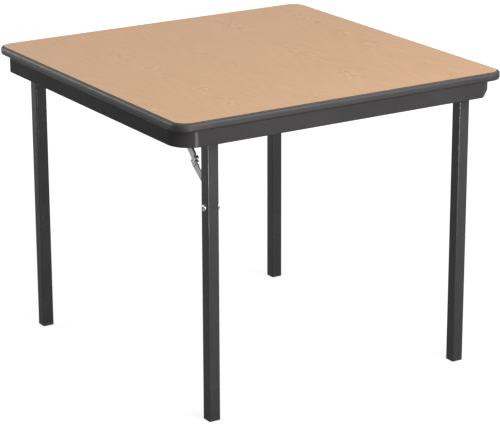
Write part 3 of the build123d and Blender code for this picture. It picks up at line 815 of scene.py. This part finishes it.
class CARDTABLE_OT_fasteners(Operator):
    """Finish the screws and rest pads under the top"""

    bl_idname = "card_table.fasteners"
    bl_label = "Screws and pads"

    def execute(self, context):
        dress("zinc", ["apron_screws", "strap_screws", "anchor_screws", "pad_screws"])
        dress("rubber", ["rest_pads"])
        return {"FINISHED"}


# Studio: half the floor's width, how far from the middle the floor keeps its own level and where it is
# white, and the direction from which the surroundings add light, with its cosine at the rim of that light.
FLOOR_REACH = 14.0
SHADOW_REACH, WHITE_REACH = 1.0, 3.0
BACK_RIGHT = (0.7, 0.7, 0.0)
BEHIND_START = 0.35


def seen_rays(tree):
    """1 for rays that show the background: from the camera, off gloss and through glass."""
    path = tree.nodes.new("ShaderNodeLightPath").outputs
    shown = math(tree, "MAXIMUM", path["Is Camera Ray"], path["Is Glossy Ray"])
    return math(tree, "MAXIMUM", shown, path["Is Transmission Ray"])


def floor_finish(studio):
    """Pale floor. It adds light of its own for the camera, so that it reads white away from the table's
    shadow, and is clear from below."""
    material = bpy.data.materials.new("studio_floor")
    material.use_nodes = True
    tree = material.node_tree
    tree.nodes.clear()
    place = tree.nodes.new("ShaderNodeTexCoord").outputs["Object"]
    path = tree.nodes.new("ShaderNodeLightPath").outputs
    distance = add(tree, "ShaderNodeVectorMath", {0: place}, operation="LENGTH").outputs["Value"]
    level = between(tree, distance, SHADOW_REACH, WHITE_REACH, studio.floor_level, 1.0)
    shown = math(tree, "MAXIMUM", path["Is Camera Ray"], path["Is Transmission Ray"])
    own = add(tree, "ShaderNodeEmission", {"Strength": times(tree, level, shown)}).outputs[0]
    lit = add(tree, "ShaderNodeBsdfDiffuse", {"Color": tuple(studio.floor)}).outputs[0]
    both = add(tree, "ShaderNodeAddShader", {0: lit, 1: own}).outputs[0]
    below = add(tree, "ShaderNodeNewGeometry").outputs["Backfacing"]
    clear = tree.nodes.new("ShaderNodeBsdfTransparent").outputs[0]
    hidden = times(tree, below, path["Is Camera Ray"])
    mix = add(tree, "ShaderNodeMixShader", {0: hidden, 1: both, 2: clear}).outputs[0]
    put(tree, mix, tree.nodes.new("ShaderNodeOutputMaterial").inputs["Surface"])
    return material


def studio_floor(studio):
    """Square floor, flat at height zero."""
    corners = np.array([(-1, -1, 0), (1, -1, 0), (1, 1, 0), (-1, 1, 0)], float) * FLOOR_REACH
    mesh = bpy.data.meshes.new("studio_floor")
    mesh.from_pydata(corners.tolist(), [], [(0, 1, 2, 3)])
    mesh.materials.append(floor_finish(studio))
    floor = bpy.data.objects.new("studio_floor", mesh)
    bpy.context.scene.collection.objects.link(floor)


def studio_sky(studio):
    """White surroundings for the camera and for gloss. As a light they grow from the horizon to overhead,
    and towards the back right, which lights the two sides that the key light does not reach."""
    world = bpy.data.worlds.new("studio_sky")
    world.use_nodes = True
    tree = world.node_tree
    back = tree.nodes["Background"]
    way = tree.nodes.new("ShaderNodeTexCoord").outputs["Generated"]
    rise = add(tree, "ShaderNodeSeparateXYZ", {0: way}).outputs["Z"]
    behind = add(tree, "ShaderNodeVectorMath", {0: way, 1: BACK_RIGHT}, operation="DOT_PRODUCT").outputs["Value"]
    level = between(tree, rise, 0.0, 1.0, studio.horizon_level, studio.sky_level)
    level = plus(tree, level, between(tree, behind, BEHIND_START, 1.0, 0.0, studio.behind_level))
    put(tree, spread(tree, seen_rays(tree), level, 1.0), back.inputs["Strength"])
    put(tree, (1.0, 1.0, 1.0), back.inputs["Color"])
    bpy.context.scene.world = world


def softbox(name, watts, place, target, size):
    """Rectangular area light of a width and a length, turned towards a point and unseen by the camera."""
    lamp = bpy.data.lights.new(name, "AREA")
    lamp.shape = "RECTANGLE"
    lamp.size, lamp.size_y = size
    lamp.energy = watts
    light = bpy.data.objects.new(name, lamp)
    light.location = place
    light.rotation_euler = (Vector(target) - Vector(place)).to_track_quat("-Z", "Y").to_euler()
    light.visible_camera = False
    bpy.context.scene.collection.objects.link(light)


def photo_camera(studio):
    """Camera from its heading, tilt and roll: it looks along (sin h cos t, cos h cos t, -sin t)."""
    heading, tilt, roll = studio.camera_turn
    forward = Vector((sin(heading) * cos(tilt), cos(heading) * cos(tilt), -sin(tilt)))
    right = Vector((cos(heading), -sin(heading), 0.0))
    up = right.cross(forward)
    level = cos(roll) * right + sin(roll) * up
    upright = cos(roll) * up - sin(roll) * right
    lens = bpy.data.cameras.new("photo_camera")
    lens.sensor_fit = "HORIZONTAL"
    lens.sensor_width = 36.0
    lens.lens = studio.camera_lens
    camera = bpy.data.objects.new("photo_camera", lens)
    turn = Matrix((level, upright, -forward)).transposed()
    camera.matrix_world = Matrix.Translation(Vector(studio.camera_place)) @ turn.to_4x4()
    bpy.context.scene.collection.objects.link(camera)
    bpy.context.scene.camera = camera


class CARDTABLE_OT_stage(Operator):
    """Set the floor, surroundings, lights and camera"""

    bl_idname = "card_table.stage"
    bl_label = "Studio"

    def execute(self, context):
        studio = context.scene.card_table_studio
        studio_floor(studio)
        studio_sky(studio)
        softbox("key_light", studio.key_power, place=(0.9, -3.2, 2.0), target=(0.0, 0.0, 0.45), size=(3.2, 2.2))
        softbox("rim_light", studio.rim_power, place=(-2.0, 2.8, 1.1), target=(0.0, 0.3, 0.6), size=(1.2, 1.2))
        softbox(
            "strip_light", studio.strip_power, place=(-0.3, -2.5, 0.03), target=(-0.3, -2.4, 1.0), size=(0.5, 1.7)
        )
        photo_camera(studio)
        context.scene.view_settings.view_transform = "Standard"
        return {"FINISHED"}


OPERATORS = (
    CARDTABLE_OT_top, CARDTABLE_OT_edge, CARDTABLE_OT_apron, CARDTABLE_OT_leg_frames, CARDTABLE_OT_bearings,
    CARDTABLE_OT_braces, CARDTABLE_OT_fasteners, CARDTABLE_OT_stage,
)


class CARDTABLE_PT_panel(Panel):
    """Steps that dress the card table"""

    bl_idname = "CARDTABLE_PT_panel"
    bl_label = "Card Table"
    bl_space_type = "VIEW_3D"
    bl_region_type = "UI"
    bl_category = "Card Table"

    def draw(self, context):
        for operator in OPERATORS:
            self.layout.operator(operator.bl_idname)
        scene = context.scene
        for settings in (scene.card_table_sizes, scene.card_table_colours, scene.card_table_studio):
            box = self.layout.box()
            for key in settings.bl_rna.properties.keys():
                if key not in ("rna_type", "name"):
                    box.prop(settings, key)


CLASSES = (CardTableSizes, CardTableColours, CardTableStudio, *OPERATORS, CARDTABLE_PT_panel)


def register():
    for made in CLASSES:
        bpy.utils.register_class(made)
    bpy.types.Scene.card_table_sizes = PointerProperty(type=CardTableSizes)
    bpy.types.Scene.card_table_colours = PointerProperty(type=CardTableColours)
    bpy.types.Scene.card_table_studio = PointerProperty(type=CardTableStudio)


def unregister():
    del bpy.types.Scene.card_table_studio
    del bpy.types.Scene.card_table_colours
    del bpy.types.Scene.card_table_sizes
    for made in reversed(CLASSES):
        bpy.utils.unregister_class(made)


def main():
    """Dresses the table piece by piece."""
    register()
    bpy.ops.card_table.top()
    bpy.ops.card_table.edge()
    bpy.ops.card_table.apron()
    bpy.ops.card_table.leg_frames()
    bpy.ops.card_table.bearings()
    bpy.ops.card_table.braces()
    bpy.ops.card_table.fasteners()
    bpy.ops.card_table.stage()


if __name__ == "__main__":
    main()
